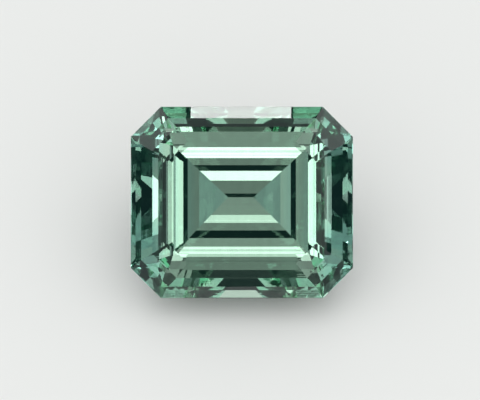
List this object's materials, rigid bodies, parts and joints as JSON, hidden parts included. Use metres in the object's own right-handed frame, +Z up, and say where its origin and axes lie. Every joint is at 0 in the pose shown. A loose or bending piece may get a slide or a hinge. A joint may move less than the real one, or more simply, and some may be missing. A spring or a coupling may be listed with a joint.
{
  "type": "gemstone",
  "caption": "Loose emerald-cut sapphire with stepped crown and pavilion facets, lying on a pavilion facet with its table facing forwards and up.",
  "frame": {"origin": "centre of the stone's box on the surface it lies on", "axes": "+Z up, +X along the stone's length, the table looks towards -Y and up"},
  "size_m": [0.012, 0.009, 0.0077],
  "materials": {
    "sapphire": "polished facets, finely ground girdle"
  },
  "bodies": {
    "root": {"sapphire": "sapphire"}
  },
  "joints": []
}
